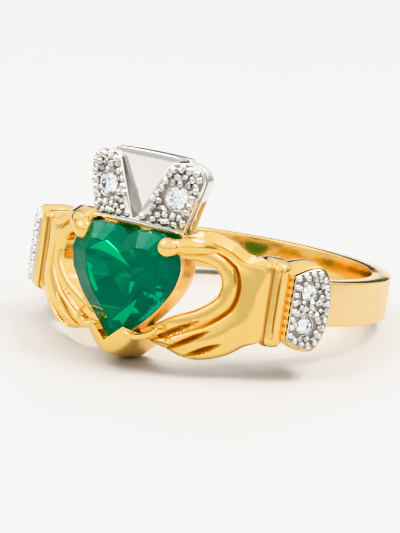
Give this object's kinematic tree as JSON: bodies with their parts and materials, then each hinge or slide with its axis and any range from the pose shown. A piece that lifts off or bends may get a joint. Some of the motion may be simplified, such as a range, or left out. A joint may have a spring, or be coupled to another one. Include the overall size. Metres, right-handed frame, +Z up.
{
  "type": "claddagh ring",
  "caption": "Two-tone claddagh ring: two gold hands hold a green heart-cut stone under a beaded white-gold crown, with beaded cuffs at the wrists.",
  "frame": {"origin": "centre of the finger hole", "axes": "+Z up from the surface that the ring lies on its side on, -Y towards the head with the heart, +X to the right of someone who faces the heart"},
  "size_m": [0.02, 0.0228, 0.0116],
  "materials": {
    "yellow_gold": "polished yellow gold, satin on the band's outside",
    "white_gold": "polished white gold",
    "emerald": "cut and polished green stone",
    "diamond": "cut and polished clear stone"
  },
  "bodies": {
    "root": {"gold_shank": "yellow_gold", "crown": "white_gold", "cuff_plaque_left": "white_gold", "cuff_plaque_right": "white_gold", "heart_emerald": "emerald", "crown_diamond_left": "diamond", "crown_diamond_right": "diamond", "cuff_diamond_left_upper": "diamond", "cuff_diamond_left_lower": "diamond", "cuff_diamond_right_upper": "diamond", "cuff_diamond_right_lower": "diamond"}
  },
  "joints": []
}
